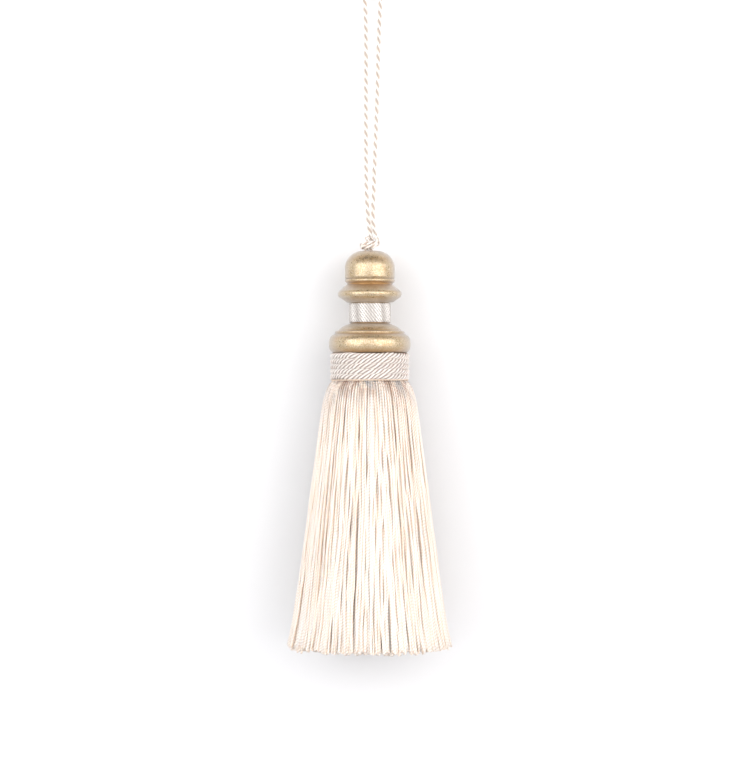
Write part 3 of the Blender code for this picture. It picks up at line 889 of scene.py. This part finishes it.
class TASSEL_OT_neck(bpy.types.Operator):
    """Lay the satin threads over the neck"""
    bl_idname = "tassel.neck"
    bl_label = "Satin neck"

    def execute(self, context):
        settings = context.scene.tassel_neck
        draw = np.random.default_rng(NECK_SEED)
        count, rings = settings.threads, 12
        radius = NECK_HIGH.x - SATIN_ROOT
        down = np.linspace(0.0, 1.0, rings)
        start = math.tau * (np.arange(count) + draw.uniform(-0.1, 0.1, count)) / count
        lean = settings.slant * (1.0 + draw.uniform(-0.2, 0.2, count))
        angle = start[:, None] + lean[:, None] * down
        proud = draw.uniform(-0.05, 0.05, count)[:, None] + 0.1 * np.sin(math.pi * down)
        out = radius + proud * MM
        centres = round_axis(out, angle, NECK_HIGH.z + (NECK_LOW.z - NECK_HIGH.z) * down)
        widths = np.full((count, rings), 0.5 * SATIN_THICKNESS)
        # Painted shade: grey bands round the neck where the satin would mirror the dark between the
        # lights
        shade_bands = 0.3 - 0.42 * np.sin(9 * start) + 0.12 * np.sin(14 * start + 2.0)
        half_turns = (NECK_HIGH.z - NECK_LOW.z) / SATIN_HALF_TURN
        laid = SATIN_STAGGER / count * np.arange(count)[:, None] - down * half_turns
        tints = np.clip(shade_bands + draw.normal(0.0, 0.1, count), 0.0, 1.0)
        neck = tube_mesh("neck_threads", centres, round_outline(THIN_SIDES), widths, tints,
                         along=laid, plies=2)
        material = yarn_material("satin_thread_yarn", tuple(settings.colour), SATIN_GROOVES, 0.3,
                                 specular=0.6, sides=0.2, tint_range=1.0)
        dress(neck, material, "satin_thread", "neck_wrap")
        return {"FINISHED"}


# ---- collar


class TASSEL_OT_collar(bpy.types.Operator):
    """Wind the twisted cord of the collar"""
    bl_idname = "tassel.collar"
    bl_label = "Corded collar"

    def execute(self, context):
        settings = context.scene.tassel_collar
        height = (COLLAR_HIGH.z - COLLAR_LOW.z) / settings.rows
        thickness = height * ROW_FULLNESS
        radius = COLLAR_RADIUS - thickness * 0.5
        crest_gap = math.tau * radius / settings.crests
        rows = []
        for k in range(settings.rows):
            angle = ring_angles(settings.crests * 4)
            wander = 0.12 * np.sin(5 * angle + 2 * k) + 0.07 * np.sin(11 * angle + k)  # in mm
            ring = round_axis(radius, angle, COLLAR_HIGH.z - (k + 0.5) * height + wander * MM)
            rows.append(laid_cord("row", ring, thickness, crest_gap, CORD_SIDES, closed=True, plies=4,
                                  ply=0.23, phase=0.95 * k, tint=0.1 * (k % 3), uneven=0.28))
        # A backing tinted to the deeper colour fills the gaps between the rows: painted shade
        ends = (COLLAR_HIGH.z - 0.8 * MM, COLLAR_LOW.z + 0.05 * MM)
        backing = np.array([[(0.0, 0.0, z) for z in ends]])
        widths = np.full((1, 2), COLLAR_RADIUS - 0.4 * thickness)
        rows.append(tube_mesh("backing", backing, round_outline(96), widths, np.ones(1)))
        collar = join("collar_rows", rows)
        # Painted shade in the grooves, where each ply turns in towards the other
        material = yarn_material("collar_thread_yarn", tuple(settings.colour), COLLAR_GROOVES, 0.45,
                                 grooved=1.0, opening=0.9, glow=0.15)
        dress(collar, material, "collar_thread", "collar_cord")
        return {"FINISHED"}


# ---- skirt


class TASSEL_OT_skirt(bpy.types.Operator):
    """Hang the skirt's threads from under the collar and bind their heading"""
    bl_idname = "tassel.skirt"
    bl_label = "Thread skirt"

    def execute(self, context):
        settings = context.scene.tassel_skirt
        draw = np.random.default_rng(settings.seed)
        # Painted shade in the grooves, on the threads' sides and in patches at the heading
        yarn = yarn_material("skirt_thread_yarn", tuple(settings.colour), SKIRT_GROOVES, 0.42,
                             tint_range=0.8, glow=0.5, sides=0.9, heading=HEADING_SHADES)
        folds = [gather_folds(settings, draw) for _ in range(FOLDS)]
        rings = [place_threads(settings, draw, folds[min(k // 2, FOLDS - 1)], k)
                 for k in range(SKIRT_RINGS)]
        for quarter, letter in enumerate("abcd"):
            outer = []
            for k, starts in enumerate(rings[:FACE_RINGS]):
                side = np.floor(starts["angle"] / (math.tau / 4)).astype(int) % 4 == quarter
                own = {key: value[side] for key, value in starts.items()}
                outer.append(spin_threads(settings, own, twisted=k == 0))
            dress(join("skirt_face_" + letter, outer), yarn, "skirt_thread", "skirt")
        inner = [spin_threads(settings, starts, twisted=False) for starts in rings[FACE_RINGS:]]
        dress(join("skirt_core", inner), yarn, "skirt_thread", "skirt")
        dress(bind_heading(), yarn_material("binding_yarn", BINDING_COLOUR, BINDING_GROOVES, 0.5),
              "skirt_thread", "skirt")
        return {"FINISHED"}


def skirt_share(down):
    """How far out a thread has swung, from 0 at the root to 1 at the hem."""
    spread = BULGE * (1.0 - np.exp(-down / BULGE_SHARE)) + FLARE * down
    return spread / (BULGE + FLARE)


def gather_folds(settings, draw):
    """Waves round the skirt, in mm, that neighbouring threads share: sideways, outwards, in length."""
    def waves(counts, reach, evened=0.0):
        counts = np.array(counts)
        reach = draw.normal(0.0, reach, len(counts)) / counts ** evened
        return counts, reach * MM, draw.uniform(0.0, math.tau, len(counts))

    fine = settings.locks
    return {
        "drift": waves((3, 5, 8, 13, 19, 29), 1.2, 1.0),
        "out": waves((7, fine // 3, fine // 2, fine, fine + 5), 0.16),
        "end": waves((2, 5, 11, 17), 0.15),
        "sway": [waves((4, 7, 12, 18), 1.5, 1.0) for _ in WAVES],
        "phase": [waves((2, 3, 5, 9), 900.0) for _ in WAVES],
    }


def height_of(waves, angle):
    counts, reach, phase = waves
    return np.sum(reach * np.sin(counts * angle[:, None] + phase), axis=1)


def place_threads(settings, draw, folds, ring):
    """One ring of threads: where each starts, where it ends and how it sways with its neighbours."""
    root = ROOT_RADIUS - ring * RING_STEP
    pair = ROOT_RADIUS - (ring - ring % 2) * RING_STEP  # rings in pairs fill each other's gaps
    count = max(3, round(math.tau * pair / RING_STEP))
    loose = LOOSENESS[ring]
    hem = HEM_RADIUS * (1.0 - (1.0 - root / ROOT_RADIUS) ** HEM_CROWDING)
    angle = math.tau * (np.arange(count) + 0.5 * (ring % 2) + draw.uniform(-0.15, 0.15, count)) / count
    strays = draw.uniform(0.0, 1.0, count) < STRAYS
    drift = draw.normal(0.0, 0.2, count) * np.where(strays, STRAY_DRIFT, 1.0) * MM
    drift = loose * (drift + height_of(folds["drift"], angle))
    proud = (height_of(folds["out"], angle) + draw.normal(0.0, 0.2, count) * MM
             + np.where(strays, STRAY_RISE, 0.0))
    sway = np.stack([height_of(waves, angle) for waves in folds["sway"]], axis=1)
    phase = np.stack([height_of(waves, angle) for waves in folds["phase"]], axis=1)
    sway = sway + draw.normal(0.0, 0.5, (count, len(WAVES))) * MM
    return {
        "angle": angle,
        "root": np.full(count, root),
        "hem": hem + proud * root / ROOT_RADIUS,
        "turn": drift / hem,
        "sway": sway * [loose * reach for _, reach, _ in WAVES],
        "phase": phase + draw.uniform(0.0, 1.0, (count, len(WAVES))) * [step for _, _, step in WAVES],
        "end": HEM + height_of(folds["end"], angle) + draw.normal(0.0, 1.0, count) * settings.ragged,
        "width": 0.5 * settings.thickness * FULLNESS[ring] * draw.uniform(0.9, 1.1, count),
        # Threads that stand further in get a deeper tint, painted shade; the rest of the tint is random
        "tint": np.clip(0.22 - 0.45 * proud / MM + draw.normal(0.0, 0.42, count), 0.0, 1.0),
    }


def thread_lines(starts, down):
    """Centrelines (thread, ring, xyz) of the threads at shares of their length down."""
    down = np.broadcast_to(down, (len(starts["angle"]), len(down)))
    column = {key: value[:, None] for key, value in starts.items() if value.ndim == 1}
    spread = skirt_share(down)
    radius = column["root"] + (column["hem"] - column["root"]) * spread
    tucked = np.exp(-down / TUCK_SHARE)
    radius = radius - TUCK * tucked + SPRING * np.exp((down - 1.0) / SPRING_SHARE)
    angle = column["angle"] + column["turn"] * down ** 1.4
    for k, (waves, _, _) in enumerate(WAVES):
        sway = starts["sway"][:, k:k + 1]
        wave = np.sin(waves * down + starts["phase"][:, k:k + 1]) * np.minimum(1.0, 4.0 * down)
        angle = angle + sway * wave / radius
        radius = radius + 0.4 * sway * np.cos(waves * down + 2.0 * starts["phase"][:, k:k + 1]) * down
    top = SKIRT_TOP - ROOT_DROP
    z = top + (column["end"] - top) * down + ROOT_LIFT * tucked
    return round_axis(radius, angle, z)


def spin_threads(settings, starts, twisted):
    """The threads of a ring as one mesh; only twisted ones have their plies in it."""
    length = SKIRT_TOP - HEM
    if twisted:
        down = np.linspace(0.0, 1.0, round(length / settings.half_turn * 3) + 1)
        outline = two_ply_outline(THREAD_SIDES, 0.6)
        twist = math.pi * length / settings.half_turn * down
    else:
        down = np.concatenate([(0.0, 0.01, 0.022, 0.04, 0.065, 0.1), np.linspace(0.15, 1.0, 18)])
        outline = round_outline(THREAD_SIDES)
        twist = np.zeros_like(down)
    count = len(starts["angle"])
    widths = starts["width"][:, None] * np.where(down > 0.99, CUT_SPREAD, 1.0)
    along = np.broadcast_to(down * length / settings.half_turn, (count, len(down)))
    return tube_mesh("threads", thread_lines(starts, down), outline, widths, starts["tint"],
                     twist=twist + starts["phase"][:, :1], along=along, plies=1 if twisted else 2)


def bind_heading():
    """The thin thread wound between collar and skirt."""
    ring = round_axis(BINDING_RADIUS, ring_angles(240), SKIRT_TOP - 0.32 * MM)
    return laid_cord("heading_binding", ring, BINDING_THICKNESS, BINDING_HALF_TURN, THIN_SIDES,
                     closed=True, hand=1.0)


# ---- panel and registration


PIECES = (  # operator, the scene property that holds its settings, their group
    (TASSEL_OT_stage, "tassel_stage", StageSettings),
    (TASSEL_OT_loop, "tassel_loop", LoopSettings),
    (TASSEL_OT_head, "tassel_head", HeadSettings),
    (TASSEL_OT_neck, "tassel_neck", NeckSettings),
    (TASSEL_OT_collar, "tassel_collar", CollarSettings),
    (TASSEL_OT_skirt, "tassel_skirt", SkirtSettings),
)


class TASSEL_PT_pieces(bpy.types.Panel):
    """The tassel's pieces and their settings"""
    bl_label = "Key tassel"
    bl_idname = "TASSEL_PT_pieces"
    bl_space_type = "VIEW_3D"
    bl_region_type = "UI"
    bl_category = "Tassel"

    def draw(self, context):
        for operator, name, group in PIECES:
            box = self.layout.box()
            box.operator(operator.bl_idname)
            for key in group.__annotations__:
                box.prop(getattr(context.scene, name), key)


def register():
    for operator, name, group in PIECES:
        bpy.utils.register_class(group)
        setattr(bpy.types.Scene, name, bpy.props.PointerProperty(type=group))
        bpy.utils.register_class(operator)
    bpy.utils.register_class(TASSEL_PT_pieces)


def unregister():
    bpy.utils.unregister_class(TASSEL_PT_pieces)
    for operator, name, group in reversed(PIECES):
        bpy.utils.unregister_class(operator)
        delattr(bpy.types.Scene, name)
        bpy.utils.unregister_class(group)


def main():
    register()
    bpy.ops.tassel.stage()
    bpy.ops.tassel.loop()
    bpy.ops.tassel.head()
    bpy.ops.tassel.neck()
    bpy.ops.tassel.collar()
    bpy.ops.tassel.skirt()


if __name__ == "__main__":
    main()
